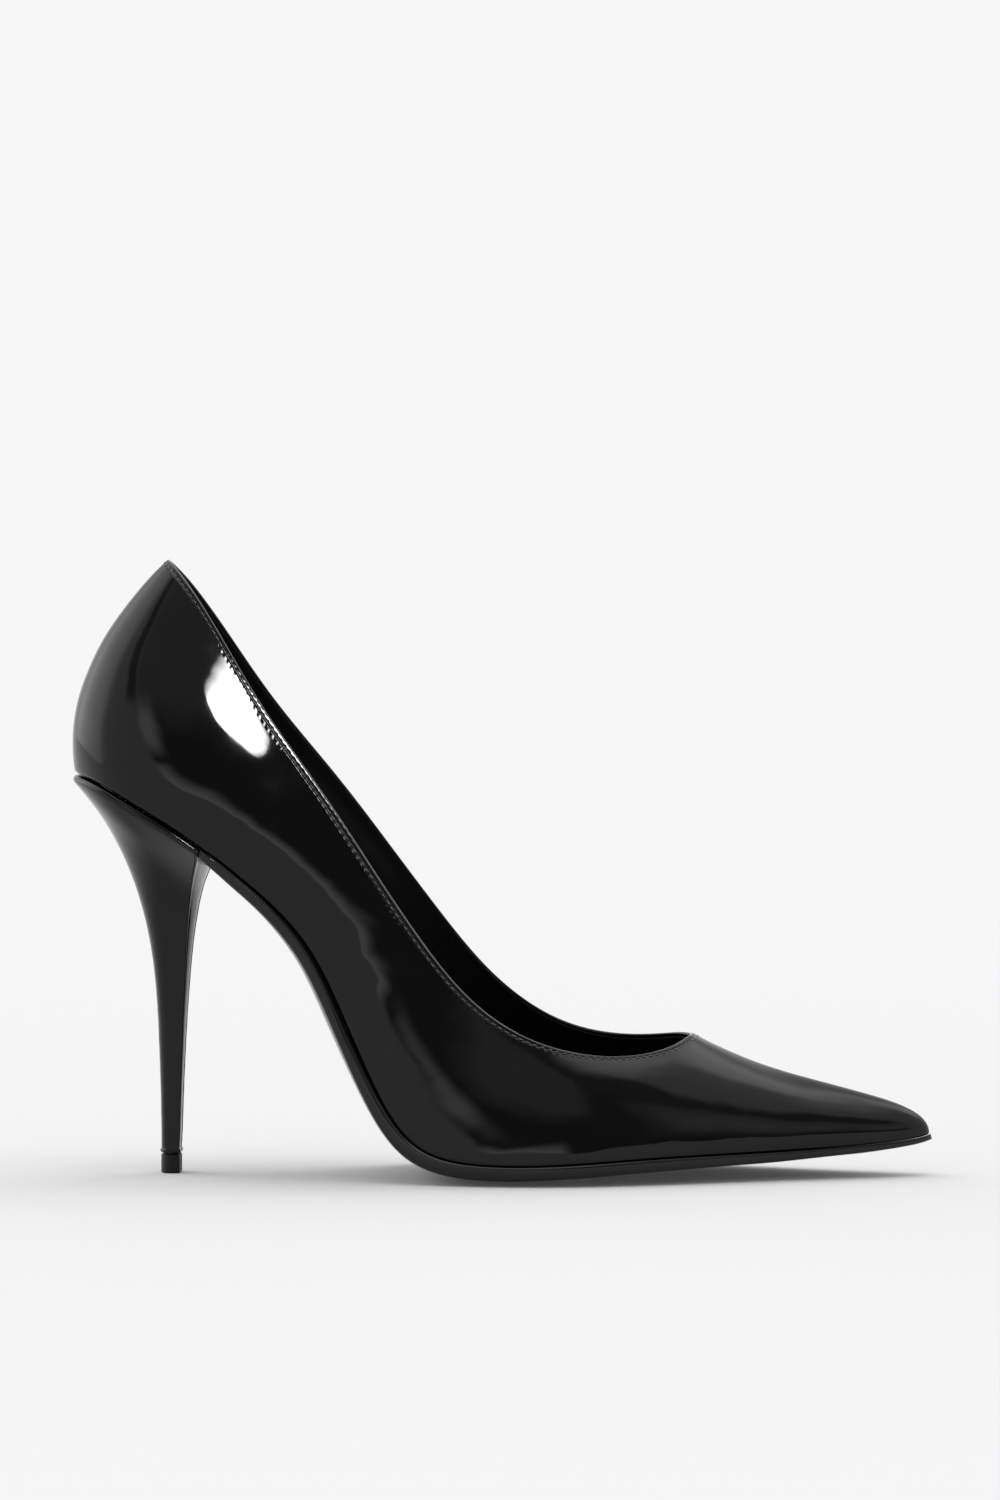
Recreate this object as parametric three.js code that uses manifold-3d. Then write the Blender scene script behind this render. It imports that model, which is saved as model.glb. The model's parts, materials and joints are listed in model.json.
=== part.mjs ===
import * as THREE from "three";
import { mergeVertices } from "three/addons/utils/BufferGeometryUtils.js";
import Module from "manifold-3d";

const wasm = await Module();
wasm.setup();

// Right shoe, EU 37, millimetres. +X points to the toe, +Y to the inner (medial) side, +Z up, floor at z = 0.
// The last is described by sixteen stations from the back of the heel to the toe tip. Each row holds:
// feather line x, z, outer half width, inner half width;
// topline x, z, outer half width, inner half width, rise of the inner side;
// bulge above the feather line (length, angle) and bulge below the topline (length, angle).
const lastStations = [
  [0.6, 110.3, 0, 0, 26.4, 168.8, 0, 0, 0, 24, 33, 20, 23],
  [7.2, 108.7, 17.5, 17.5, 31.3, 164.2, 9.5, 9.5, -1.2, 22, 30, 19, 21],
  [18.1, 103.1, 25, 25, 41.4, 149.9, 16.5, 16.5, -1.5, 19, 26, 17, 14],
  [33, 94, 26.5, 26, 54.6, 128.5, 21, 20.5, 0.5, 15, 24, 14, 10],
  [49.4, 81.4, 25, 23, 71, 105.4, 24, 23.5, 3, 12, 24, 11, 8],
  [64.8, 65.8, 24, 20, 86.7, 81.8, 25.5, 25.5, 5.7, 10, 26, 9, 10],
  [75.4, 45.9, 24, 18.5, 100.4, 62.2, 26.5, 27, 7, 11, 27, 10, 12],
  [85, 25.5, 28, 22.5, 111.8, 49.5, 27.3, 28, 6.2, 13, 22, 12, 16],
  [96.5, 10.5, 33, 29, 123.2, 41.4, 27.3, 28, 4.6, 14, 20, 13, 22],
  [114, 5.8, 37, 35.5, 135.8, 36.5, 25.8, 26.5, 3.2, 13, 22, 13, 30],
  [137, 5.9, 37, 38.5, 149, 34.5, 21.8, 22.8, 2.8, 12, 26, 12, 33],
  [162, 7.2, 30, 34, 159.6, 35.2, 16, 16.8, 2.5, 12, 30, 11, 31],
  [187.1, 7.9, 19.5, 25, 165.9, 37.1, 10.5, 11.2, 1.5, 11, 42, 14, 17],
  [211.1, 8.8, 9.5, 15, 169, 38.7, 5.3, 6, 0.2, 10.6, 52, 20, 4],
  [228.6, 10.1, 2, 8.5, 169.8, 39.1, 2, 2.8, 0, 11, 63, 27, -5],
  [235.2, 11.3, -3.5, 3.5, 170, 39.3, -0.5, 0.5, 0, 12.4, 68, 32, -8],
];
const tip = lastStations.length - 1;
const around = 2 * tip;

// Layer thicknesses and the gap left between neighbouring pieces.
const gap = 0.3;
const upperThick = 1.1;
const stiffenerThick = 0.8;
const liningThick = 0.6;
const gripThick = 0.6;
const lastingMargin = 9;
const insoleLow = 1.8;
const insoleThick = 1.8;
const foamThick = 1.5;
const sockThick = 0.8;
const shankThick = 1.2;

// How far the middle of the last's bottom hangs below the feather line, by station.
const crown = [0, 0, 0, 0, 0, 0, 0.1, 0.4, 1, 1.7, 1.7, 1.4, 1, 0.6, 0.3, 0];
// Outsole thickness at its edge, and how much thicker it is along its middle.
const soleEdge = [2, 2, 2, 2.2, 3.2, 3.7, 3.8, 3.9, 4.1, 3.9, 3.6, 3.3, 2.8, 2.1, 1.6, 1.3];
const soleBelly = [0, 0, 0, 0.3, 1.3, 2.1, 2.2, 1.6, 1, 0.6, 0.5, 0.4, 0.3, 0.2, 0.1, 0.1];

// Heel: back x, z; breast corner x, z; half width at the widest, half width at the corner, breast hollow
// (below zero where the breast bulges forward between its corners).
const heelStations = [
  [3.4, 104.6, 36.5, 87, 23.2, 23.4, 0.5],
  [8.2, 98.2, 35, 83.2, 18, 17.4, -1.4],
  [14.3, 86.6, 33.4, 77, 12, 10.2, -1.8],
  [17.7, 77.7, 32.2, 69, 8.6, 6.8, -1.6],
  [20, 69.5, 31.7, 62, 7, 5.6, -1.1],
  [21.6, 61.3, 31.4, 56, 6.1, 4.9, -0.9],
  [22.8, 51, 31, 49, 5.4, 4.5, -0.7],
  [23.5, 38, 30.5, 38, 4.8, 4.1, -0.5],
  [24, 23, 29.9, 23, 4.25, 3.8, -0.4],
  [24.2, 8.2, 29.5, 8.2, 3.9, 3.6, -0.2],
];
const heelFront = 3.3;
const coverThick = 0.6;
const coverGap = 0.25;
const topPieceHigh = 5.2;
const dowel = { x: 26.9, radius: 1, low: 15, high: 74 };
const tipPin = { x: 26.9, radius: 1, low: 1.6, high: 14.4 };
const heelScrew = { x: 25.5, y: 0, radius: 2, length: 23 };
const heelNails = [
  [17.5, -8.5],
  [17.5, 8.5],
  [30, -10],
  [30, 10],
];
const nail = { radius: 0.9, length: 13 };

function clamp(value, low, high) {
  return Math.min(Math.max(value, low), high);
}

function smooth(low, high, value) {
  const f = clamp((value - low) / (high - low), 0, 1);
  return f * f * (3 - 2 * f);
}

function lerp(a, b, f) {
  return a + (b - a) * f;
}

// A table of one number per station, read between its stations.
function atStation(table, t) {
  const i = Math.floor(clamp(t, 0, table.length - 1.001));
  return lerp(table[i], table[i + 1], smooth(0, 1, t - i) * 0.5 + (t - i) * 0.5);
}

// Control points of the closed cubic B-spline that passes through the given points.
function controlsThrough(points) {
  const controls = points.map((p) => p.clone());
  for (let round = 0; round < 60; round++) {
    for (let i = 0; i < points.length; i++) {
      const before = controls[(i + points.length - 1) % points.length];
      const after = controls[(i + 1) % points.length];
      controls[i] = points[i].clone().multiplyScalar(6).sub(before).sub(after).divideScalar(4);
    }
  }
  return controls;
}

function onLoop(controls, u) {
  const n = controls.length;
  const w = ((u % n) + n) % n;
  const i = Math.floor(w);
  const f = w - i;
  const weights = [(1 - f) ** 3, 3 * f ** 3 - 6 * f ** 2 + 4, -3 * f ** 3 + 3 * f ** 2 + 3 * f + 1, f ** 3];
  const point = new THREE.Vector3();
  weights.forEach((weight, k) => point.addScaledVector(controls[(i + k - 1 + n) % n], weight / 6));
  return point;
}

// The four loops of the last: feather line, two rows of handles, topline.
function makeLoops() {
  const order = [];
  for (let i = 0; i <= tip; i++) order.push([i, -1]);
  for (let i = tip - 1; i > 0; i--) order.push([i, 1]);
  const feather = [];
  const topline = [];
  for (const [i, side] of order) {
    const [fx, fz, fOut, fIn, tx, tz, tOut, tIn, rise] = lastStations[i];
    feather.push(new THREE.Vector3(fx, side < 0 ? -fOut : fIn, fz));
    topline.push(new THREE.Vector3(tx, side < 0 ? -tOut : tIn, tz + (side > 0 ? rise : 0)));
  }
  const featherControls = controlsThrough(feather);
  const low = [];
  const high = [];
  order.forEach(([i], k) => {
    const [lowLength, lowAngle, highLength, highAngle] = lastStations[i].slice(9);
    const along = onLoop(featherControls, k + 0.01).sub(onLoop(featherControls, k - 0.01));
    const up = topline[k].clone().sub(feather[k]).normalize();
    const out = along.cross(up).normalize();
    const a = THREE.MathUtils.degToRad(lowAngle);
    const b = THREE.MathUtils.degToRad(highAngle);
    low.push(
      feather[k].clone().addScaledVector(up, lowLength * Math.cos(a)).addScaledVector(out, lowLength * Math.sin(a)),
    );
    high.push(
      topline[k].clone().addScaledVector(up, -highLength * Math.cos(b)).addScaledVector(out, highLength * Math.sin(b)),
    );
  });
  return [featherControls, controlsThrough(low), controlsThrough(high), controlsThrough(topline)];
}

const loops = makeLoops();

// Outer face of the upper: u runs round the shoe from the back, v from feather line to topline.
function outerFace(u, v) {
  const w = [(1 - v) ** 3, 3 * v * (1 - v) ** 2, 3 * v * v * (1 - v), v ** 3];
  const point = new THREE.Vector3();
  loops.forEach((controls, k) => point.addScaledVector(onLoop(controls, u), w[k]));
  return point;
}

function inward(u, v) {
  const e = 0.01;
  const low = clamp(v, 0, 1 - e);
  const along = outerFace(u + e, low).sub(outerFace(u - e, low));
  const up = outerFace(u, low + e).sub(outerFace(u, low));
  return up.cross(along).normalize();
}

// A point of the wall at a depth below the outer face; deep layers start higher, above the insole's edge.
function wallPoint(u, v, depth) {
  const height = outerFace(u, 1).distanceTo(outerFace(u, 0));
  const nearTip = depth > upperThick ? 0.07 * smooth(13.4, tip, stationOf(u)) : 0;
  const start = (0.6 * depth) / height + nearTip;
  const w = start + (1 - start) * v;
  return outerFace(u, w).addScaledVector(inward(u, w), depth);
}

function stationOf(u) {
  const w = ((u % around) + around) % around;
  return w <= tip ? w : around - w;
}

function feather(u) {
  return onLoop(loops[0], u);
}

// Direction square to the last's bottom, pointing up.
function bottomUp(t) {
  const s = clamp(t, 0.7, tip - 0.6);
  const along = feather(s + 0.02).sub(feather(s - 0.02));
  return new THREE.Vector3(-along.z, 0, along.x).normalize();
}

// The bottom is one ruled surface across the shoe, so its height and station depend on x alone.
function stationAt(x) {
  let low = 0;
  let high = tip;
  for (let step = 0; step < 24; step++) {
    const t = (low + high) / 2;
    if (feather(t).x < x) low = t;
    else high = t;
  }
  return (low + high) / 2;
}

function ontoBottom(point) {
  point.z = feather(stationAt(point.x)).z;
  return point;
}

// The feather line moved into the bottom's plane by an inset.
function bottomEdge(u, inset) {
  const along = feather(u + 0.02).sub(feather(u - 0.02));
  const into = bottomUp(stationOf(u)).cross(along).normalize();
  return ontoBottom(feather(u).addScaledVector(into, inset));
}

function crownDrop(t, y) {
  const outer = feather(t).y;
  const inner = feather(around - t).y;
  const w = (y - (outer + inner) / 2) / Math.max((inner - outer) / 2, 0.5);
  return atStation(crown, t) * Math.max(0, 1 - w * w);
}

// The part of the upper that is turned in under the insole.
function marginPoint(u, inset, high) {
  const t = stationOf(u);
  const s = clamp(t, 2.2, tip - 2);
  const middle = feather(s).add(feather(around - s)).multiplyScalar(0.5);
  const edge = feather(u);
  const reach = edge.distanceTo(middle);
  const point = ontoBottom(edge.lerp(middle, Math.min(inset, reach * 0.6) / reach));
  const here = stationAt(point.x);
  return point.addScaledVector(bottomUp(here), high - crownDrop(here, point.y));
}

function makeGeometry(points, faces) {
  let volume = 0;
  for (const [a, b, c] of faces) volume += points[a].dot(points[b].clone().cross(points[c]));
  const index = faces.flatMap(([a, b, c]) => (volume < 0 ? [a, c, b] : [a, b, c]));
  const geometry = new THREE.BufferGeometry().setFromPoints(points);
  geometry.setIndex(index);
  geometry.computeVertexNormals();
  return geometry;
}

// A solid through closed sections of equal point count; its ends pair point j with point n - 1 - j.
function loft(sections) {
  const n = sections[0].length;
  const faces = [];
  for (let i = 0; i + 1 < sections.length; i++) {
    for (let j = 0; j < n; j++) {
      const a = i * n + j;
      const b = i * n + ((j + 1) % n);
      faces.push([a, b, b + n], [a, b + n, a + n]);
    }
  }
  const last = (sections.length - 1) * n;
  for (let j = 0; j < n / 2 - 1; j++) {
    faces.push([j, n - 1 - j, n - 2 - j], [j, n - 2 - j, j + 1]);
    faces.push([last + j, last + j + 1, last + n - 2 - j], [last + j, last + n - 2 - j, last + n - 1 - j]);
  }
  return makeGeometry(sections.flat(), faces);
}

// A sheet with thickness: two matching grids of points, closed along their edges.
function sheet(outer, inner, ring) {
  const rows = outer.length;
  const n = outer[0].length;
  const back = rows * n;
  const faces = [];
  for (let i = 0; i < (ring ? rows : rows - 1); i++) {
    const a = i * n;
    const b = ((i + 1) % rows) * n;
    for (let j = 0; j + 1 < n; j++) {
      faces.push([a + j, b + j, b + j + 1], [a + j, b + j + 1, a + j + 1]);
      faces.push([back + a + j, back + b + j + 1, back + b + j], [back + a + j, back + a + j + 1, back + b + j + 1]);
    }
    const e = n - 1;
    faces.push([a, back + a, back + b], [a, back + b, b]);
    faces.push([a + e, b + e, back + b + e], [a + e, back + b + e, back + a + e]);
  }
  if (!ring) {
    const z = (rows - 1) * n;
    for (let j = 0; j + 1 < n; j++) {
      faces.push([j, j + 1, back + j + 1], [j, back + j + 1, back + j]);
      faces.push([z + j, back + z + j + 1, z + j + 1], [z + j, back + z + j, back + z + j + 1]);
    }
  }
  return makeGeometry([...outer.flat(), ...inner.flat()], faces);
}

function range(from, to, count) {
  return Array.from({ length: count + 1 }, (_, i) => lerp(from, to, i / count));
}

// Places round the shoe, closer together at the back and at the toe tip.
function placesAround(from, to) {
  const places = [];
  for (let k = -2 * around; k <= 4 * around; k++) {
    const u = k / 4;
    const t = stationOf(u);
    const fine = t < 1 || t > tip - 1.6;
    if ((fine || k % 2 === 0) && u > from + 0.1 && u < to - 0.1) places.push(u);
  }
  return [from, ...places, to];
}

function stations(from, to) {
  const extra = [0.15, 0.35, 0.65, 14.3, 14.6, 14.8];
  const steps = range(0, tip, 2 * tip).concat(extra);
  return [from, ...steps.filter((t) => t > from + 0.1 && t < to - 0.05).sort((a, b) => a - b), to];
}

// Manifold solid of a geometry, for cutting.
function toSolid(geometry) {
  const bare = geometry.clone();
  bare.deleteAttribute("normal");
  bare.deleteAttribute("uv");
  const merged = mergeVertices(bare, 1e-4);
  const mesh = new wasm.Mesh({
    numProp: 3,
    vertProperties: new Float32Array(merged.attributes.position.array),
    triVerts: new Uint32Array(merged.index.array),
  });
  return new wasm.Manifold(mesh);
}

function fromSolid(solid) {
  const mesh = solid.getMesh();
  const geometry = new THREE.BufferGeometry();
  geometry.setAttribute("position", new THREE.BufferAttribute(new Float32Array(mesh.vertProperties), 3));
  geometry.setIndex(new THREE.BufferAttribute(new Uint32Array(mesh.triVerts), 1));
  geometry.computeVertexNormals();
  return geometry;
}

function cut(geometry, tools) {
  let solid = toSolid(geometry);
  for (const tool of tools) solid = solid.subtract(toSolid(tool));
  return fromSolid(solid);
}

// A round bar between two points.
function bar(from, to, radius, sides = 16) {
  const along = to.clone().sub(from);
  const geometry = new THREE.CylinderGeometry(radius, radius, along.length(), sides);
  const turn = new THREE.Quaternion().setFromUnitVectors(new THREE.Vector3(0, 1, 0), along.normalize());
  geometry.applyQuaternion(turn);
  const middle = from.clone().add(to).multiplyScalar(0.5);
  return geometry.translate(middle.x, middle.y, middle.z);
}

// A turned shape about a vertical line: [radius, z] pairs, first and last on the line.
function turned(profile, x, y, sides = 16) {
  const points = profile.map(([r, z]) => new THREE.Vector2(r, z));
  return new THREE.LatheGeometry(points, sides).rotateX(Math.PI / 2).translate(x, y, 0);
}

function upperGeometry() {
  const outer = [];
  const inner = [];
  const margins = [lastingMargin, lastingMargin * 0.45];
  const heights = [0, 0.08, 0.2, 0.34, 0.5, 0.66, 0.82, 0.94, 1];
  for (const u of placesAround(0, around).slice(0, -1)) {
    const low = margins.map((m) => marginPoint(u, m, 0));
    const high = margins.map((m) => marginPoint(u, m, upperThick));
    outer.push([...low, ...heights.map((v) => wallPoint(u, v, 0))]);
    inner.push([...high, ...heights.map((v) => wallPoint(u, v, upperThick))]);
  }
  return sheet(outer, inner, true);
}

// The lining stands off the upper where a stiffener lies between them.
function liningDepth(u, v) {
  const t = stationOf(u);
  const atHeel = 1 - smooth(4.7, 5.7, t);
  const atToe = smooth(10.4, 11.4, t);
  const heelHigh = 1 - smooth(0.76, 0.9, v);
  const toeHigh = 1 - smooth(0.58, 0.76, v);
  const lift = Math.max(atHeel * heelHigh, atToe * toeHigh);
  return upperThick + gap + lift * (stiffenerThick + gap * 1.2);
}

function wallSheet(from, to, heights, depthAt, thick) {
  const outer = [];
  const inner = [];
  for (const u of placesAround(from, to)) {
    outer.push(heights.map((v) => wallPoint(u, v, depthAt(u, v))));
    inner.push(heights.map((v) => wallPoint(u, v, depthAt(u, v) + thick)));
  }
  return sheet(outer, inner, false);
}

function stiffener(from, to, heights) {
  return wallSheet(from, to, heights, () => upperThick + gap, stiffenerThick);
}

function heelGrip() {
  const depthAt = (u, v) => liningDepth(u, v) + liningThick + gap;
  return wallSheet(-2.4, 2.4, [0.3, 0.44, 0.58, 0.72, 0.84, 0.94], depthAt, gripThick);
}

// A plate that follows the last's bottom; depths are heights above the feather line's plane.
function plate(from, to, inset, low, high, across = 6) {
  const sections = stations(from, to).map((t) => {
    const up = bottomUp(t);
    const outer = bottomEdge(t, inset);
    const inner = bottomEdge(around - t, inset);
    const row = (height) =>
      range(0, 1, across).map((f) => {
        const point = outer.clone().lerp(inner, f);
        return point.addScaledVector(up, height - crownDrop(t, point.y));
      });
    return [...row(high), ...row(low).reverse()];
  });
  return loft(sections);
}

// A narrow strip along the middle of the bottom, with rounded ends.
function strip(from, to, halfWidth, low, high) {
  const list = range(from, to, 16);
  const sections = list.map((t, i) => {
    const up = bottomUp(t);
    const end = Math.min(i, list.length - 1 - i);
    const half = halfWidth * [0.35, 0.8, 1][Math.min(end, 2)];
    const middle = feather(t).add(feather(around - t)).multiplyScalar(0.5);
    const point = (side, height) =>
      middle.clone().add(new THREE.Vector3(0, side * half, 0)).addScaledVector(up, height - crownDrop(t, middle.y));
    return [point(-1, high), point(1, high), point(1, low), point(-1, low)];
  });
  return loft(sections);
}

function outsoleGeometry() {
  const across = 8;
  const sections = stations(3.33, 14.93).map((t) => {
    const up = bottomUp(t);
    const outer = bottomEdge(t, -gap);
    const inner = bottomEdge(around - t, -gap);
    const width = outer.distanceTo(inner);
    const edge = atStation(soleEdge, t);
    const pull = Math.min(1.3, width * 0.2) / width;
    const at = (f, height) => {
      const point = outer.clone().lerp(inner, f);
      point.addScaledVector(up, height - crownDrop(t, point.y));
      point.z = Math.max(point.z, 0);
      return point;
    };
    const under = range(1 - pull, pull, across).map((f) => {
      const w = 2 * f - 1;
      return at(f, -gap - edge - atStation(soleBelly, t) * (1 - w * w));
    });
    const top = range(0, 1, across).map((f) => at(f, -gap));
    return [...top, at(1, -gap - edge * 0.6), ...under, at(0, -gap - edge * 0.6)];
  });
  return loft(sections);
}

// One level of the heel as a loop that starts and ends beside the breast's middle.
const heelPlaces = [3.3, 3, 2.5, 2, 1.5, 1, 0.65, 0.35, 0.12];

function heelLoop(frontLateral, frontMedial, hollow, sideAt) {
  const breast = (side, f) => {
    const corner = side < 0 ? frontLateral : frontMedial;
    const middle = frontLateral.clone().add(frontMedial).multiplyScalar(0.5);
    const point = middle.lerp(corner, f);
    point.x -= hollow * (1 - f * f);
    return point;
  };
  const seam = 0.02;
  const lateral = [breast(-1, seam), breast(-1, 0.5), ...heelPlaces.map((t) => sideAt(-1, t))];
  const medial = [breast(1, seam), breast(1, 0.5), ...heelPlaces.map((t) => sideAt(1, t))];
  return [...lateral, ...medial.reverse()];
}

// Levels near the seat follow the feather line: inset from it and drop below it.
function seatLoop(inset, drop, deeper) {
  const sideAt = (side, t) => {
    const u = side < 0 ? t : around - t;
    const s = Math.min(t, heelFront);
    const point = bottomEdge(u, inset + deeper).addScaledVector(bottomUp(s), -drop);
    if (t === heelFront) point.x -= deeper;
    return point;
  };
  return heelLoop(sideAt(-1, heelFront), sideAt(1, heelFront), 0.3, sideAt);
}

// Levels of the stem: a rounded back half, straighter sides and a hollow breast.
function stemLoop([backX, backZ, frontX, frontZ, half, frontHalf, hollow], grow) {
  const xb = backX - grow;
  const xf = frontX + grow;
  const w = half + grow;
  const wf = frontHalf + grow;
  const round = (xf - xb) * 0.5;
  const place = (x, y) => {
    const f = (x - xb) / (xf - xb);
    return new THREE.Vector3(x, y, lerp(backZ, frontZ, f));
  };
  const sideAt = (side, t) => {
    const p = t / heelFront;
    if (p < 0.55) {
      const a = (p / 0.55) * Math.PI * 0.5;
      return place(xb + round * (1 - Math.cos(a)), side * w * Math.sin(a));
    }
    const f = (p - 0.55) / 0.45;
    return place(xb + round + f * (xf - xb - round), side * lerp(w, wf, f));
  };
  return heelLoop(place(xf, -wf), place(xf, wf), hollow, sideAt);
}

// All levels of the heel from the seat to just above the top piece, shrunk by a depth.
function heelLevels(depth, bead) {
  const levels = [seatLoop(1.3, gap, depth), seatLoop(0.2, 1.3, depth), seatLoop(0.2, 2.7, depth)];
  for (const row of heelStations) levels.push(stemLoop(row, -depth));
  const last = heelStations[heelStations.length - 1];
  const level = (z, grow) => [last[0], z, last[2], z, last[4], last[5], 0].concat(grow);
  const ends = bead
    ? [level(7, 0), level(6.6, 0.25), level(5.9, 0.25), level(topPieceHigh + gap, 0.05)]
    : [level(topPieceHigh + gap, 0)];
  for (const row of ends) levels.push(stemLoop(row.slice(0, 7), row[7] - depth));
  return levels;
}

function heelCover() {
  const transpose = (levels) => levels[0].map((_, j) => levels.map((level) => level[j]));
  return sheet(transpose(heelLevels(0, true)), transpose(heelLevels(coverThick, true)), false);
}

function heelBlock() {
  return loft(heelLevels(coverThick + coverGap, false));
}

// Screw and nails stand upright with their heads sunk in the insole board.
function headTop(x) {
  return feather(stationAt(x)).z + insoleLow + insoleThick + 0.3;
}

function screwShape(grow) {
  const top = headTop(heelScrew.x);
  const low = top - heelScrew.length - grow;
  const r = heelScrew.radius + grow;
  const head = 3.3 + grow;
  const profile = [
    [0, low],
    [r * 0.6, low],
    [r, low + 3],
    [r, top - 2.4],
    [head, top - 0.9],
    [head, top + grow],
    [0, top + grow],
  ];
  return turned(profile, heelScrew.x, heelScrew.y, 20);
}

function nailShape([x, y], grow) {
  const top = headTop(x);
  const low = top - nail.length - grow;
  const r = nail.radius + grow;
  const profile = [
    [0, low],
    [r, low + 1.6],
    [r, top - 1.2 - grow],
    [r + 1, top - 0.8 - grow],
    [r + 1, top + grow],
    [0, top + grow],
  ];
  return turned(profile, x, y, 12);
}

function rivetLine(t, low, high) {
  const middle = feather(t).add(feather(around - t)).multiplyScalar(0.5);
  const up = bottomUp(t);
  return [middle.clone().addScaledVector(up, low), middle.clone().addScaledVector(up, high)];
}

function topPiece() {
  const last = heelStations[heelStations.length - 1];
  const level = (z, grow) => stemLoop([last[0], z, last[2], z, last[4], last[5], 0], grow);
  const body = loft([level(0, 0.05), level(topPieceHigh - 0.4, 0.05), level(topPieceHigh, -0.1)]);
  const hole = bar(
    new THREE.Vector3(tipPin.x, 0, tipPin.low - gap),
    new THREE.Vector3(tipPin.x, 0, 12),
    tipPin.radius + 0.25,
  );
  return cut(body, [hole]);
}

const screwHole = screwShape(gap);
const nailHoles = heelNails.map((place) => nailShape(place, gap));
const rivetPlaces = [3.7, 6.7];
const shankTop = gap + shankThick;
const rivetHoles = rivetPlaces.map((t) => bar(...rivetLine(t, -1, insoleLow + insoleThick + 1), 1.5 + gap));

function insoleBoard() {
  const low = insoleLow;
  return cut(plate(0.12, 13.6, 3.7, low, low + insoleThick), [screwHole, ...nailHoles, ...rivetHoles]);
}

function shankGeometry() {
  return cut(strip(1.9, 7.9, 6, gap, shankTop), [screwHole, ...rivetHoles]);
}

function drilledBlock() {
  const dowelHole = bar(
    new THREE.Vector3(dowel.x, 0, 0),
    new THREE.Vector3(dowel.x, 0, dowel.high + gap),
    dowel.radius + 0.25,
  );
  return cut(heelBlock(), [dowelHole, screwHole, ...nailHoles]);
}

const materials = {
  patent: { color: 0x141416, roughness: 0.08, metalness: 0 },
  heelPatent: { color: 0x17171a, roughness: 0.1, metalness: 0 },
  lining: { color: 0x1c1b1b, roughness: 0.6, metalness: 0 },
  suede: { color: 0x242222, roughness: 0.95, metalness: 0 },
  stiffener: { color: 0xb9a98a, roughness: 0.85, metalness: 0 },
  board: { color: 0x9a7b55, roughness: 0.9, metalness: 0 },
  foam: { color: 0xd8cfa8, roughness: 0.95, metalness: 0 },
  cork: { color: 0x8f6a43, roughness: 0.95, metalness: 0 },
  sole: { color: 0x1a1919, roughness: 0.35, metalness: 0 },
  abs: { color: 0x3b3b3d, roughness: 0.5, metalness: 0 },
  tpu: { color: 0x111112, roughness: 0.55, metalness: 0 },
  steel: { color: 0xa9abae, roughness: 0.35, metalness: 1 },
};

const shoe = new THREE.Group();
shoe.name = "high_heel_pump";

function add(name, geometry, material) {
  const mesh = new THREE.Mesh(geometry, new THREE.MeshStandardMaterial(materials[material]));
  mesh.name = name;
  shoe.add(mesh);
}

function addUpper() {
  const wall = [0, 0.1, 0.24, 0.4, 0.56, 0.7, 0.8, 0.9, 0.985];
  add("upper", upperGeometry(), "patent");
  add("toe_puff", stiffener(11.4, around - 11.4, [0.05, 0.18, 0.3, 0.44, 0.58]), "stiffener");
  add("heel_counter", stiffener(-4.7, 4.7, [0.05, 0.22, 0.4, 0.58, 0.76]), "stiffener");
  add("quarter_lining", wallSheet(-6.45, 6.45, wall, liningDepth, liningThick), "lining");
  add("vamp_lining", wallSheet(6.55, around - 6.55, wall, liningDepth, liningThick), "lining");
  add("heel_grip", heelGrip(), "suede");
}

function addBottom() {
  const foamLow = insoleLow + insoleThick + gap + 1.4;
  const sockLow = foamLow + foamThick + gap;
  add("insole_board", insoleBoard(), "board");
  add("shank", shankGeometry(), "steel");
  rivetPlaces.forEach((t, i) =>
    add(`shank_rivet_${i + 1}`, bar(...rivetLine(t, 0.4, insoleLow + insoleThick + 0.6), 1.5), "steel"),
  );
  add("forepart_filler", plate(8.15, 13, 13, gap, 1.4, 4), "cork");
  add("outsole", outsoleGeometry(), "sole");
  add("sock_foam", plate(0.12, 13.4, 4.6, foamLow, foamLow + foamThick), "foam");
  add("sock_liner", plate(0.12, 13, 5, sockLow, sockLow + sockThick), "lining");
}

function addHeel() {
  add("heel_block", drilledBlock(), "abs");
  add("heel_cover", heelCover(), "heelPatent");
  const low = new THREE.Vector3(dowel.x, 0, dowel.low);
  add("heel_dowel", bar(low, new THREE.Vector3(dowel.x, 0, dowel.high), dowel.radius), "steel");
  add("top_piece", topPiece(), "tpu");
  const pinLow = new THREE.Vector3(tipPin.x, 0, tipPin.low);
  add("top_piece_pin", bar(pinLow, new THREE.Vector3(tipPin.x, 0, tipPin.high), tipPin.radius), "steel");
  add("heel_screw", screwShape(0), "steel");
  heelNails.forEach((place, i) => add(`heel_nail_${i + 1}`, nailShape(place, 0), "steel"));
}

addUpper();
addBottom();
addHeel();

const size = new THREE.Box3().setFromObject(shoe);
const middle = size.getCenter(new THREE.Vector3());
shoe.position.set(-middle.x, -middle.y, -size.min.z);
shoe.updateMatrixWorld(true);

export default shoe;
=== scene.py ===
import json
import math

import bpy
import numpy as np
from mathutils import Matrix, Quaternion, Vector


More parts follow.
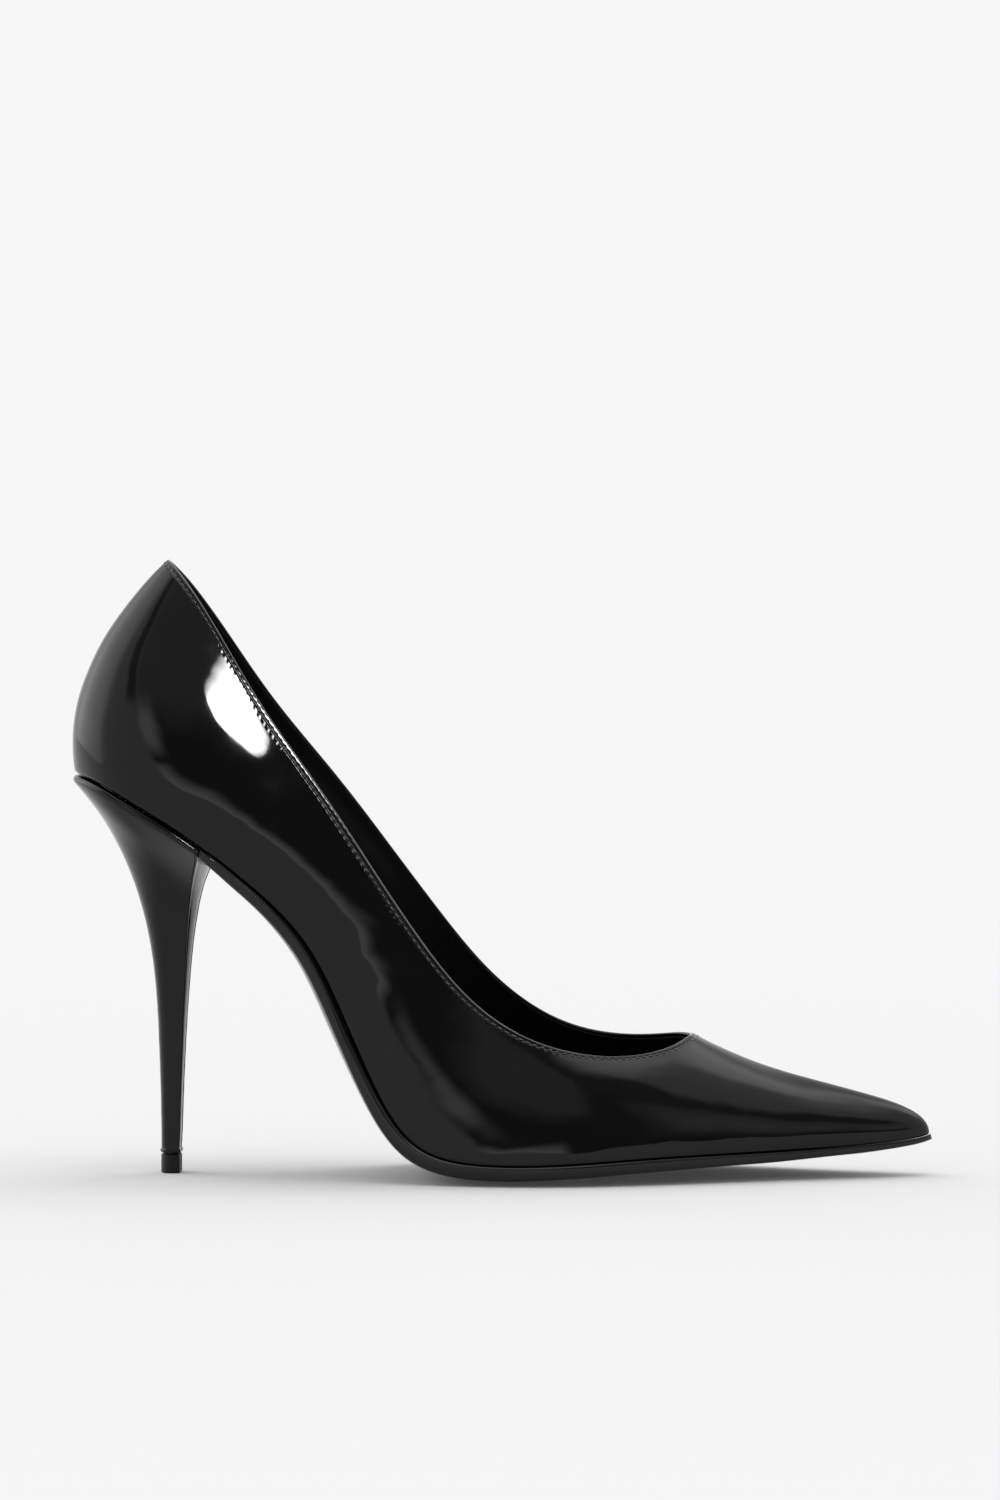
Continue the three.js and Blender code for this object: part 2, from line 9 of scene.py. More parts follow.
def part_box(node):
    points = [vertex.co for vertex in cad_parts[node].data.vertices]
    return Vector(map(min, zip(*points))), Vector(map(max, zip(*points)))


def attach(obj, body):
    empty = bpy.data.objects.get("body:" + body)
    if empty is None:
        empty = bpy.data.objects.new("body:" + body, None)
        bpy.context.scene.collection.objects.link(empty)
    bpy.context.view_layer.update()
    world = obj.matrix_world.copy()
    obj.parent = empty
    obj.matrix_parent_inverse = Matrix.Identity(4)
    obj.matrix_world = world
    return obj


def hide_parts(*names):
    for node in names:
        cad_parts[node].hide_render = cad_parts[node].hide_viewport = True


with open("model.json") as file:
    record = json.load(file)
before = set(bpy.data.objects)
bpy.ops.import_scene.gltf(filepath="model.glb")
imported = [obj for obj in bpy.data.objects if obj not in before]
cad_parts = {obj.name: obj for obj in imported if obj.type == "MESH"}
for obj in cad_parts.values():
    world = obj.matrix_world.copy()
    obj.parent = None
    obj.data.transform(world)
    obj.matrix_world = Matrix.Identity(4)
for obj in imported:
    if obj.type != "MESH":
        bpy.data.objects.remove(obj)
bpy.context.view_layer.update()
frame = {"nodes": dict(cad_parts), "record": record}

# the last: station rows as in the CAD part, in millimetres

lastStations = [
    # feather x, z, outer, inner | topline x, z, outer, inner, rise | low handle, angle, high handle, angle
    [0.6, 110.3, 0, 0, 26.4, 168.8, 0, 0, 0, 24, 33, 20, 23],
    [7.2, 108.7, 17.5, 17.5, 31.3, 164.2, 9.5, 9.5, -1.2, 22, 30, 19, 21],
    [18.1, 103.1, 25, 25, 41.4, 149.9, 16.5, 16.5, -1.5, 19, 26, 17, 14],
    [33, 94, 26.5, 26, 54.6, 128.5, 21, 20.5, 0.5, 15, 24, 14, 10],
    [49.4, 81.4, 25, 23, 71, 105.4, 24, 23.5, 3, 12, 24, 11, 8],
    [64.8, 65.8, 24, 20, 86.7, 81.8, 25.5, 25.5, 5.7, 10, 26, 9, 10],
    [75.4, 45.9, 24, 18.5, 100.4, 62.2, 26.5, 27, 7, 11, 27, 10, 12],
    [85, 25.5, 28, 22.5, 111.8, 49.5, 27.3, 28, 6.2, 13, 22, 12, 16],
    [96.5, 10.5, 33, 29, 123.2, 41.4, 27.3, 28, 4.6, 14, 20, 13, 22],
    [114, 5.8, 37, 35.5, 135.8, 36.5, 25.8, 26.5, 3.2, 13, 22, 13, 30],
    [137, 5.9, 37, 38.5, 149, 34.5, 21.8, 22.8, 2.8, 12, 26, 12, 33],
    [162, 7.2, 30, 34, 159.6, 35.2, 16, 16.8, 2.5, 12, 30, 11, 31],
    [187.1, 7.9, 19.5, 25, 165.9, 37.1, 10.5, 11.2, 1.5, 11, 42, 14, 17],
    [211.1, 8.8, 9.5, 15, 169, 38.7, 5.3, 6, 0.2, 10.6, 52, 20, 4],
    [228.6, 10.1, 2, 8.5, 169.8, 39.1, 2, 2.8, 0, 11, 63, 27, -5],
    [235.2, 11.3, -3.5, 3.5, 170, 39.3, -0.5, 0.5, 0, 12.4, 68, 32, -8],
]
tip = len(lastStations) - 1
around = 2 * tip
crown = [0, 0, 0, 0, 0, 0, 0.1, 0.4, 1, 1.7, 1.7, 1.4, 1, 0.6, 0.3, 0]

# where the last's own origin lies in the shared frame: the top piece is at x = 26.85 mm, y = 0
tipLow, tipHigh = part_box("top_piece")
originX = (tipLow[0] + tipHigh[0]) / 2 - 0.02685
originY = (tipLow[1] + tipHigh[1]) / 2


def toFrame(points):
    return np.asarray(points) * 0.001 + np.array([originX, originY, 0])


def smooth(low, high, value):
    f = np.clip((value - low) / (high - low), 0, 1)
    return f * f * (3 - 2 * f)


def unit(vectors):
    return vectors / np.maximum(np.linalg.norm(vectors, axis=-1, keepdims=True), 1e-12)


def atStation(table, t):
    t = np.clip(t, 0, len(table) - 1.001)
    i = np.floor(t).astype(int)
    f = t - i
    f = f * f * (3 - 2 * f) * 0.5 + f * 0.5
    values = np.asarray(table, float)
    return values[i] * (1 - f) + values[i + 1] * f


def controlsThrough(points):
    # control points of the closed cubic B-spline through the given points
    controls = points.copy()
    for _ in range(60):
        for i in range(len(points)):
            controls[i] = (6 * points[i] - controls[i - 1] - controls[(i + 1) % len(points)]) / 4
    return controls


def onLoop(controls, u):
    n = len(controls)
    w = np.mod(u, n)
    i = np.floor(w).astype(int)
    f = (w - i)[..., None]
    weights = [(1 - f) ** 3, 3 * f ** 3 - 6 * f ** 2 + 4, -3 * f ** 3 + 3 * f ** 2 + 3 * f + 1, f ** 3]
    return sum(weight * controls[(i + k - 1) % n] for k, weight in enumerate(weights)) / 6


def makeLoops():
    order = [(i, -1) for i in range(tip + 1)] + [(i, 1) for i in range(tip - 1, 0, -1)]
    featherPoints, toplinePoints, handles = [], [], []
    for i, side in order:
        fx, fz, fOut, fIn, tx, tz, tOut, tIn, rise = lastStations[i][:9]
        featherPoints.append([fx, -fOut if side < 0 else fIn, fz])
        toplinePoints.append([tx, -tOut if side < 0 else tIn, tz + (rise if side > 0 else 0)])
        handles.append(lastStations[i][9:])
    featherPoints, toplinePoints = np.array(featherPoints, float), np.array(toplinePoints, float)
    handles = np.array(handles, float)
    featherControls = controlsThrough(featherPoints)
    k = np.arange(around, dtype=float)
    along = onLoop(featherControls, k + 0.01) - onLoop(featherControls, k - 0.01)
    up = unit(toplinePoints - featherPoints)
    out = unit(np.cross(along, up))
    a, b = np.radians(handles[:, 1:2]), np.radians(handles[:, 3:4])
    low = featherPoints + handles[:, 0:1] * (up * np.cos(a) + out * np.sin(a))
    high = toplinePoints + handles[:, 2:3] * (-up * np.cos(b) + out * np.sin(b))
    return [featherControls, controlsThrough(low), controlsThrough(high), controlsThrough(toplinePoints)]


loops = makeLoops()


def outerFace(u, v):
    u, v = np.broadcast_arrays(np.asarray(u, float), np.asarray(v, float))
    w = v[..., None]
    weights = [(1 - w) ** 3, 3 * w * (1 - w) ** 2, 3 * w * w * (1 - w), w ** 3]
    return sum(weight * onLoop(controls, u) for weight, controls in zip(weights, loops))


def inward(u, v):
    e = 0.01
    low = np.clip(v, 0, 1 - e)
    along = outerFace(u + e, low) - outerFace(u - e, low)
    up = outerFace(u, low + e) - outerFace(u, low)
    return unit(np.cross(up, along))


def stationOf(u):
    w = np.mod(u, around)
    return np.where(w <= tip, w, around - w)


def feather(u):
    return onLoop(loops[0], np.asarray(u, float))


def wallHeight(u):
    return np.linalg.norm(outerFace(u, 1.0) - outerFace(u, 0.0), axis=-1)


def wallPoint(u, v, depth):
    u, v, depth = np.broadcast_arrays(np.asarray(u, float), np.asarray(v, float), np.asarray(depth, float))
    nearTip = np.where(depth > 1.1, 0.07 * smooth(13.4, tip, stationOf(u)), 0)
    start = 0.6 * np.maximum(depth, 0) / wallHeight(u) + nearTip
    w = start + (1 - start) * v
    return outerFace(u, w) + inward(u, w) * depth[..., None]


def bottomUp(t):
    s = np.clip(t, 0.7, tip - 0.6)
    along = feather(s + 0.02) - feather(s - 0.02)
    return unit(np.stack([-along[..., 2], np.zeros_like(along[..., 0]), along[..., 0]], -1))


bottomStations = np.linspace(0, tip, 3001)
bottomLine = feather(bottomStations)


def stationAt(x):
    return np.interp(x, bottomLine[:, 0], bottomStations)


def ontoBottom(points):
    points[..., 2] = np.interp(points[..., 0], bottomLine[:, 0], bottomLine[:, 2])
    return points


def bottomEdge(u, inset):
    along = feather(u + 0.02) - feather(u - 0.02)
    into = unit(np.cross(bottomUp(stationOf(u)), along))
    return ontoBottom(feather(u) + into * np.asarray(inset, float)[..., None])


def crownDrop(t, y):
    outer, inner = feather(t)[..., 1], feather(around - t)[..., 1]
    w = (y - (outer + inner) / 2) / np.maximum((inner - outer) / 2, 0.5)
    return atStation(crown, t) * np.maximum(0, 1 - w * w)


widestMargin = 9.0


def marginPoint(u, inset, high):
    s = np.clip(stationOf(u), 2.2, tip - 2)
    middle = (feather(s) + feather(around - s)) / 2
    edge = feather(u)
    reach = np.linalg.norm(edge - middle, axis=-1)
    narrow = np.minimum(1, reach * 0.6 / widestMargin)    # the margin shrinks where the toe is narrow
    f = (inset * narrow / reach)[..., None]
    point = ontoBottom(edge * (1 - f) + middle * f)
    here = stationAt(point[..., 0])
    return point + bottomUp(here) * (high - crownDrop(here, point[..., 1]))[..., None]


# mesh and shader helpers

def gridFaces(rows, columns, ringRows=False, ringColumns=False):
    faces = []
    for i in range(rows if ringRows else rows - 1):
        for j in range(columns if ringColumns else columns - 1):
            k, m = (i + 1) % rows, (j + 1) % columns
            faces.append((i * columns + j, k * columns + j, k * columns + m, i * columns + m))
    return faces


def capFaces(start, n, flip):
    # closes a section by pairing point j with point n - 1 - j; the last row's cap is flipped
    faces = [(start + j, start + j + 1, start + n - 2 - j, start + n - 1 - j) for j in range(n // 2 - 1)]
    return [face[::-1] for face in faces] if flip else faces


def meshPiece(name, points, faces, uv=None):
    mesh = bpy.data.meshes.new(name)
    mesh.from_pydata([tuple(p) for p in toFrame(points.reshape(-1, 3))], [], faces)
    mesh.validate()
    mesh.calc_loop_triangles()
    corners = np.array([v.co[:] for v in mesh.vertices])
    tris = np.array([t.vertices[:] for t in mesh.loop_triangles])
    a, b, c = corners[tris[:, 0]], corners[tris[:, 1]], corners[tris[:, 2]]
    volume = np.einsum("ij,ij->i", a, np.cross(b, c)).sum()
    if volume < 0:
        mesh.flip_normals()
    if uv is not None:
        layer = mesh.uv_layers.new(name="surface")
        index = np.array([loop.vertex_index for loop in mesh.loops])
        layer.data.foreach_set("uv", uv.reshape(-1, 2)[index].astype(np.float32).ravel())
    mesh.polygons.foreach_set("use_smooth", [True] * len(mesh.polygons))
    mesh.update()
    piece = bpy.data.objects.new(name, mesh)
    bpy.context.scene.collection.objects.link(piece)
    return piece


def finishPiece(piece, material, slot, *nodes):
    piece.data.materials.clear()
    piece.data.materials.append(material)
    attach(piece, "root")
    if nodes:
        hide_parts(*nodes)
    return piece


class Wire:
    # one socket of a node tree; sums and products of wires add Math nodes
    def __init__(self, graph, socket):
        self.graph, self.socket = graph, socket

    def calc(self, operation, *values):
        return self.graph.node("ShaderNodeMath", {"operation": operation}, dict(enumerate(values)))

    def __add__(self, other): return self.calc("ADD", self, other)
    def __radd__(self, other): return self.calc("ADD", other, self)
    def __sub__(self, other): return self.calc("SUBTRACT", self, other)
    def __rsub__(self, other): return self.calc("SUBTRACT", other, self)
    def __mul__(self, other): return self.calc("MULTIPLY", self, other)
    def __rmul__(self, other): return self.calc("MULTIPLY", other, self)
    def sine(self): return self.calc("SINE", self)
    def absolute(self): return self.calc("ABSOLUTE", self)

    def ramp(self, low, high, to0=0.0, to1=1.0):
        return self.graph.node("ShaderNodeMapRange", {"interpolation_type": "SMOOTHSTEP", "clamp": True},
                               {0: self, 1: low, 2: high, 3: to0, 4: to1})

    def output(self, name):
        return Wire(self.graph, self.socket.node.outputs[name])


class Graph:
    def __init__(self, tree):
        self.tree = tree
        tree.nodes.clear()

    def node(self, kind, settings=None, inputs=None, out=0):
        node = self.tree.nodes.new(kind)
        for key, value in (settings or {}).items():
            setattr(node, key, value)
        for key, value in (inputs or {}).items():
            socket = node.inputs[key]
            if isinstance(value, Wire):
                self.tree.links.new(value.socket, socket)
            elif value is not None:
                socket.default_value = value
        return Wire(self, node.outputs[out]) if len(node.outputs) else node

    def noise(self, where, scale, detail=3.0, roughness=0.5, distortion=0.0):
        return self.node("ShaderNodeTexNoise", {}, {"Vector": where, "Scale": scale, "Detail": detail,
                                                    "Roughness": roughness, "Distortion": distortion})

    def place(self, stretch=(1, 1, 1)):
        spot = self.node("ShaderNodeTexCoord", {}, {}, out="Object")
        return self.node("ShaderNodeMapping", {}, {"Vector": spot, "Scale": stretch})

    def blendColour(self, factor, first, second):
        return self.node("ShaderNodeMix", {"data_type": "RGBA"}, {0: factor, 6: first, 7: second}, out=2)

    def bump(self, height, distance, under=None):
        return self.node("ShaderNodeBump", {}, {"Height": height, "Distance": distance, "Strength": 1.0,
                                                "Normal": under})


def makeMaterial(name, build, **constants):
    material = bpy.data.materials.new(name)
    material.use_nodes = True
    graph = Graph(material.node_tree)
    inputs = build(graph)
    inputs.update({key.replace("_", " "): value for key, value in constants.items()})
    shader = graph.node("ShaderNodeBsdfPrincipled", {}, inputs)
    graph.node("ShaderNodeOutputMaterial", {}, {"Surface": shader})
    return material


def colour(r, g, b):
    return (r, g, b, 1.0)


# materials

# crest is a painted highlight: light grey painted on the rounded bead along the topline fold
patentValues = {
    "black": (0.0022, 0.0023, 0.0028), "worn": (0.0036, 0.0036, 0.0040), "crest": (0.10, 0.10, 0.105),
    "wave": 0.00012, "waveScale": 42, "peel": 0.000002, "peelScale": 620,
    "stitchPitch": 0.0021, "stitchLine": 0.0016, "pucker": 0.000022, "groove": 0.0002,
    "haze": (0.045, 0.04), "shine": 0.26,
}


def patentLeather(withStitches):
    v = patentValues

    def build(graph):
        spot = graph.place()
        slow = graph.noise(spot, v["waveScale"], 1.5)
        peel = graph.noise(spot, v["peelScale"], 2)
        shape = graph.bump(slow, v["wave"])
        shape = graph.bump(peel, v["peel"], shape)
        haze = graph.noise(spot, 95, 4).ramp(0.5, 0.8)
        if withStitches:
            uv = graph.node("ShaderNodeUVMap", {"uv_map": "surface"})
            parts = graph.node("ShaderNodeSeparateXYZ", {}, {0: uv})
            run, down = parts.output("X"), parts.output("Y")
            beside = (down - v["stitchLine"]).absolute()
            near = beside.ramp(0.0002, 0.0016, 1.0, 0.0)
            wander = graph.noise(spot, 150, 2)
            ripple = (run * (2 * math.pi / v["stitchPitch"]) + wander * 6).sine() * near
            groove = beside.ramp(0.0, 0.0006, 0.0, 1.0)
            shape = graph.bump(ripple * (0.4 + wander), v["pucker"], shape)
            shape = graph.bump(groove, v["groove"], shape)
        base = graph.blendColour(haze, colour(*v["black"]), colour(*v["worn"]))
        # painted highlight: the topline bead, within about 0.3 to 0.6 mm of the edge, is painted light grey
        if withStitches:
            base = graph.blendColour(down.ramp(0.00028, 0.00062, 1.0, 0.0), base, colour(*v["crest"]))
        return {"Base Color": base, "Roughness": v["haze"][0] + haze * v["haze"][1], "Normal": shape}

    name = "patentLeatherUpper" if withStitches else "patentLeatherHeel"
    return makeMaterial(name, build, IOR=1.5, Specular_IOR_Level=patentValues["shine"])


def grainedLeather(name, base, light, grainScale, depth, rough):
    def build(graph):
        spot = graph.place()
        cells = graph.node("ShaderNodeTexVoronoi", {"feature": "DISTANCE_TO_EDGE"},
                           {"Vector": spot, "Scale": grainScale})
        creases = graph.noise(spot, grainScale * 0.4, 4, 0.6)
        height = cells.ramp(0.0, 0.35) * 0.7 + creases * 0.6
        stain = graph.noise(spot, 38, 4).ramp(0.35, 0.75)
        return {"Base Color": graph.blendColour(stain, colour(*base), colour(*light)),
                "Roughness": rough + creases * 0.12, "Normal": graph.bump(height, depth)}
    return makeMaterial(name, build, Specular_IOR_Level=0.08)


def nappedSuede():
    def build(graph):
        spot = graph.place()
        nap = graph.noise(spot, 2600, 2)
        brushed = graph.noise(graph.place((1, 1, 3)), 70, 4, 0.6).ramp(0.35, 0.7)
        tone = graph.blendColour(brushed, colour(0.018, 0.017, 0.017), colour(0.04, 0.038, 0.037))
        return {"Base Color": tone, "Roughness": 0.88 + nap * 0.1, "Normal": graph.bump(nap, 0.00012)}
    return makeMaterial("suedeNap", build, Sheen_Weight=0.6, Sheen_Roughness=0.5)


def soleResin():
    def build(graph):
        spot = graph.place()
        lines = graph.noise(graph.place((30, 30, 220)), 1, 2)
        scuffs = graph.noise(graph.place((60, 500, 60)), 1, 5, 0.65).ramp(0.55, 0.75)
        skin = graph.noise(spot, 1400, 3)
        at = graph.node("ShaderNodeTexCoord", {}, {}, out="Object")
        level = graph.node("ShaderNodeSeparateXYZ", {}, {0: at})
        tread = level.output("Z").ramp(0.0006, 0.0016, 1.0, 0.0)
        dull = tread * 0.5 + scuffs * 0.25
        tone = graph.blendColour(dull, colour(0.004, 0.004, 0.0045), colour(0.022, 0.021, 0.021))
        return {"Base Color": tone, "Roughness": 0.12 + lines * 0.04 + dull * 0.4,
                "Normal": graph.bump(skin * (0.1 + dull), 0.00002, graph.bump(lines, 0.00001))}
    return makeMaterial("soleResin", build, Specular_IOR_Level=0.35)


def plainPart(name, base, light, rough, scale, depth, metal=0.0, shine=0.5):
    def build(graph):
        spot = graph.place()
        mottle = graph.noise(spot, scale, 4, 0.6)
        fine = graph.noise(spot, scale * 9, 3)
        return {"Base Color": graph.blendColour(mottle.ramp(0.35, 0.7), colour(*base), colour(*light)),
                "Roughness": rough + fine * 0.15, "Normal": graph.bump(fine, depth)}
    return makeMaterial(name, build, Metallic=metal, Specular_IOR_Level=shine)


print("materials")
upperPatent = patentLeather(True)
heelPatent = patentLeather(False)
liningLeather = grainedLeather("liningLeather", (0.0022, 0.0022, 0.0023), (0.0038, 0.0037, 0.0037),
                               950, 0.00005, 0.7)
sockLeather = grainedLeather("sockLeather", (0.0030, 0.0030, 0.0030), (0.0055, 0.0053, 0.0052),
                             800, 0.00006, 0.6)
suedeNap = nappedSuede()
soleMaterial = soleResin()
# painted highlight: the thread is painted grey so that the stitch line shows bright glints
threadMaterial = plainPart("threadGreyPaintedGlints", (0.06, 0.06, 0.062), (0.16, 0.16, 0.16), 0.3, 1500, 0.00003)
tipMaterial = plainPart("topPieceRubber", (0.004, 0.004, 0.004), (0.009, 0.009, 0.009),
                        0.4, 420, 0.00004, 0.0, 0.25)
partMaterials = {
    "stiffener_sheet": plainPart("stiffenerSheet", (0.5, 0.44, 0.33), (0.6, 0.54, 0.42), 0.75, 300, 0.00006),
    "insole_board": plainPart("fibreBoard", (0.006, 0.006, 0.007), (0.012, 0.012, 0.013), 0.8, 500, 0.00006),
    "sock_foam": plainPart("softFoam", (0.01, 0.01, 0.011), (0.016, 0.016, 0.018), 0.85, 900, 0.0001),
    "filler_felt": plainPart("fillerFelt", (0.26, 0.2, 0.14), (0.36, 0.29, 0.21), 0.9, 700, 0.0001),
    "heel_plastic": plainPart("mouldedPlastic", (0.035, 0.035, 0.037), (0.05, 0.05, 0.052),
                              0.35, 200, 0.00002),
    "spring_steel": plainPart("springSteel", (0.4, 0.41, 0.43), (0.55, 0.56, 0.58), 0.22, 350, 0.00001, 1.0),
    "zinc_steel": plainPart("zincSteel", (0.45, 0.46, 0.48), (0.62, 0.62, 0.63), 0.3, 500, 0.00001, 1.0),
}

# upper

upperValues = {
    "thick": 1.1, "margin": widestMargin, "cornerRadius": 1.0, "around": 480, "up": 64,
    "seam": 0.22, "slowDent": 0.09, "fineDent": 0.012,
}


def ripples(points, scale, seed):
    # slow, smooth, repeatable unevenness
    p = points * scale
    return (np.sin(p[..., 0] * 1.3 + 1.7 * np.sin(p[..., 2] * 0.9 + seed)) *
            np.sin(p[..., 2] * 1.1 + 1.3 * np.sin(p[..., 1] * 0.8 + p[..., 0] * 0.5 + seed * 2)))


def arcLengths(points):
    steps = np.linalg.norm(np.roll(points, -1, 0) - points, axis=-1)
    return np.concatenate([[0], np.cumsum(steps)])[:-1]


def makeUpper():
    v = upperValues
    u = np.arange(v["around"]) * around / v["around"]
    height = wallHeight(u)
    r = v["thick"] / 2
    columns, downs = [], []
    top = 1 - r / height
    corner = v["cornerRadius"] / height
    topPoint = outerFace(u, 1.0)

    def column(points):
        columns.append(points)
        downs.append(np.linalg.norm(points - topPoint, axis=-1))

    for f in np.linspace(1, 0.25, 5):
        column(marginPoint(u, v["margin"] * f, 0.0))
    foot = marginPoint(u, v["cornerRadius"], 0.0)
    bend = feather(u)
    rise = outerFace(u, corner)
    for f in np.linspace(0, 1, 8):
        column(foot * (1 - f) ** 2 + bend * 2 * f * (1 - f) + rise * f * f)
    for f in np.linspace(0, 1, v["up"])[1:]:
        w = corner + (top - corner) * f
        points = outerFace(u, w)
        dent = v["slowDent"] * ripples(points, 0.13, 2.0) + v["fineDent"] * ripples(points, 0.41, 5.0)
        dent = dent * smooth(0, 0.15, f) * (1 - smooth(0.9, 1.0, f))
        backSeam = v["seam"] * np.exp(-((np.minimum(u, around - u) / 0.05) ** 2))
        column(points - inward(u, w) * (dent - backSeam * 0.6)[:, None])
    centre = outerFace(u, top) + inward(u, top) * r
    lift = unit(outerFace(u, top) - outerFace(u, top - 0.02))
    for a in np.linspace(0, math.pi, 9)[1:-1]:
        column(centre - inward(u, top) * (r * math.cos(a)) + lift * (r * math.sin(a)))
    for f in np.linspace(1, 0, 18):
        w = corner + (top - corner) * f
        column(outerFace(u, w) + inward(u, w) * v["thick"])
    for f in (0.4, 1.0):
        column(marginPoint(u, v["margin"] * f, v["thick"]))
    points = np.stack(columns, 1)
    run = np.repeat(arcLengths(outerFace(u, 1.0))[:, None], points.shape[1], 1)
    uv = np.stack([run, np.stack(downs, 1)], -1) * 0.001
    faces = gridFaces(points.shape[0], points.shape[1], True, True)
    return finishPiece(meshPiece("upperShell", points, faces, uv), upperPatent, "patent_leather", "upper")


print("upper")
upperShell = makeUpper()


# wall layers: linings, stiffeners, heel grip

wallValues = {"lining": 1.4, "overStiffener": 1.16, "lap": 0.64, "grip": 0.9, "stiffener": 1.4}    # depths


def liningDepth(u, v):
    t = stationOf(u)
    atHeel = 1 - smooth(4.7, 5.7, t)
    atToe = smooth(10.4, 11.4, t)
    lift = np.maximum(atHeel * (1 - smooth(0.76, 0.9, v)), atToe * (1 - smooth(0.58, 0.76, v)))
    return wallValues["lining"] + lift * wallValues["overStiffener"]


def lappedDepth(u, v):
    # the vamp lining laps over the quarter lining's front edge
    return liningDepth(u, v) + wallValues["lap"] * (1 - smooth(6.5, 6.95, stationOf(u)))


def wallLayer(name, uFrom, uTo, vFrom, vTo, depthAt, thick, steps=(160, 40)):
    u = np.linspace(uFrom, uTo, steps[0])[:, None]
    columns = []
    heights = np.linspace(vFrom, vTo, steps[1])
    for v in heights:
        columns.append(wallPoint(u[:, 0], np.full(steps[0], v), depthAt(u[:, 0], v)))
    back = [wallPoint(u[:, 0], np.full(steps[0], v), depthAt(u[:, 0], v) + thick) for v in heights[::-1]]
    last, first = columns[-1], back[0]
    lift = unit(columns[-1] - columns[-2])
    across = unit(first - last)
    crest = [(last + first) / 2 - across * (thick / 2 * math.cos(a)) + lift * (thick / 2 * math.sin(a))
             for a in (0.7, math.pi / 2, math.pi - 0.7)]
    points = np.stack(columns + crest + back, 1)
    n = points.shape[1]
    faces = gridFaces(points.shape[0], n, False, True)
    middle = len(columns) + 1
    ends = []
    for row in (0, points.shape[0] - 1):
        order = [row * n + (middle + k) % n for k in range(n)]
        fan = [(order[k], order[k + 1], order[-k - 1]) if k == 0 else
               (order[k], order[k + 1], order[-k - 1], order[-k]) for k in range(0, n // 2)]
        ends += [face[::-1] for face in fan] if row else fan
    return meshPiece(name, points, faces + ends)


def gripDepth(u, v):
    return liningDepth(u, v) + wallValues["grip"]


def stiffenerDepth(u, v):
    return u * 0 + wallValues["stiffener"]


layers = {
    # name: from, to round the shoe, from, to up the wall, depth, thickness, steps, material, slot, node
    "quarterLining": (-6.47, 6.47, 0, 0.985, liningDepth, 0.6, (300, 48),
                      liningLeather, "lining_leather", "quarter_lining"),
    "vampLining": (6.28, around - 6.28, 0, 0.985, lappedDepth, 0.6, (300, 48),
                   liningLeather, "lining_leather", "vamp_lining"),
    "heelGrip": (-2.4, 2.4, 0.3, 0.94, gripDepth, 0.6, (90, 40), suedeNap, "suede", "heel_grip"),
    "toePuff": (11.4, around - 11.4, 0.05, 0.58, stiffenerDepth, 0.8, (120, 20),
                partMaterials["stiffener_sheet"], "stiffener_sheet", "toe_puff"),
    "heelCounter": (-4.7, 4.7, 0.05, 0.76, stiffenerDepth, 0.8, (120, 24),
                    partMaterials["stiffener_sheet"], "stiffener_sheet", "heel_counter"),
}

print("linings and stiffeners")
for name, (*shape, material, slot, node) in layers.items():
    finishPiece(wallLayer(name, *shape), material, slot, node)


# bottom: sock, foam, outsole

# stations from and to, inset, height of the lower and upper face, doming
plateValues = {"foam": (0.12, 13.4, 4.6, 5.3, 6.8, 0.0), "liner": (0.1, 13.1, 4.4, 7.1, 7.9, 0.3)}


def plateSolid(name, tFrom, tTo, inset, low, high, dome=0.0, edge=0.5, steps=220):
    f = np.linspace(0, 1, steps)
    t = tFrom + (tTo - tFrom) * (f - np.sin(2 * np.pi * f) / (2 * np.pi) * 0.6)
    up = bottomUp(t)
    outer, inner = bottomEdge(t, np.full(steps, inset)), bottomEdge(around - t, np.full(steps, inset))
    width = np.linalg.norm(inner - outer, axis=-1)

    def row(g, height):
        point = outer * (1 - g) + inner * g
        swell = (dome * 4 * g * (1 - g))[:, 0] if height > (low + high) / 2 else 0.0
        return point + up * (height + swell - crownDrop(t, point[:, 1]))[:, None]
    pull = np.minimum(edge, width * 0.2) / width
    upper = [row((pull + (1 - 2 * pull) * g)[:, None], high) for g in np.linspace(0, 1, 24)]
    lower = [row((pull + (1 - 2 * pull) * g)[:, None], low) for g in np.linspace(1, 0, 24)]
    rightSide = [row(np.ones((steps, 1)), low + (high - low) * g) for g in (0.75, 0.25)]
    leftSide = [row(np.zeros((steps, 1)), low + (high - low) * g) for g in (0.25, 0.75)]
    points = np.stack(upper + rightSide + lower + leftSide, 1)
    points = np.roll(points, 1, 1)
    n = points.shape[1]
    faces = gridFaces(steps, n, False, True) + capFaces(0, n, False) + capFaces((steps - 1) * n, n, True)
    return meshPiece(name, points, faces)


print("sock and sole")
foamPlate = plateSolid("sockFoam", *plateValues["foam"])
sockFoam = finishPiece(foamPlate, partMaterials["sock_foam"], "sock_foam", "sock_foam")
linerPlate = plateSolid("sockLiner", *plateValues["liner"])
sockLiner = finishPiece(linerPlate, sockLeather, "lining_leather", "sock_liner")

soleValues = {
    "edge": [2, 2, 2, 2.2, 3.2, 3.7, 3.8, 3.9, 4.1, 3.9, 3.6, 3.3, 2.8, 2.1, 1.6, 1.3],
    "belly": [0, 0, 0, 0.3, 1.3, 2.1, 2.2, 1.6, 1, 0.6, 0.5, 0.4, 0.3, 0.2, 0.1, 0.1],
    "bevel": [0.2, 0.2, 0.2, 0.2, 0.5, 0.9, 0.95, 0.8, 0.4, 0.25, 0.25, 0.25, 0.22, 0.2, 0.15, 0.15],
    "start": 3.12, "steps": 320, "gap": 0.12, "bead": 0.45, "startInset": 0.9,
    "bevelDepth": 1.15, "rounding": 0.42,
}


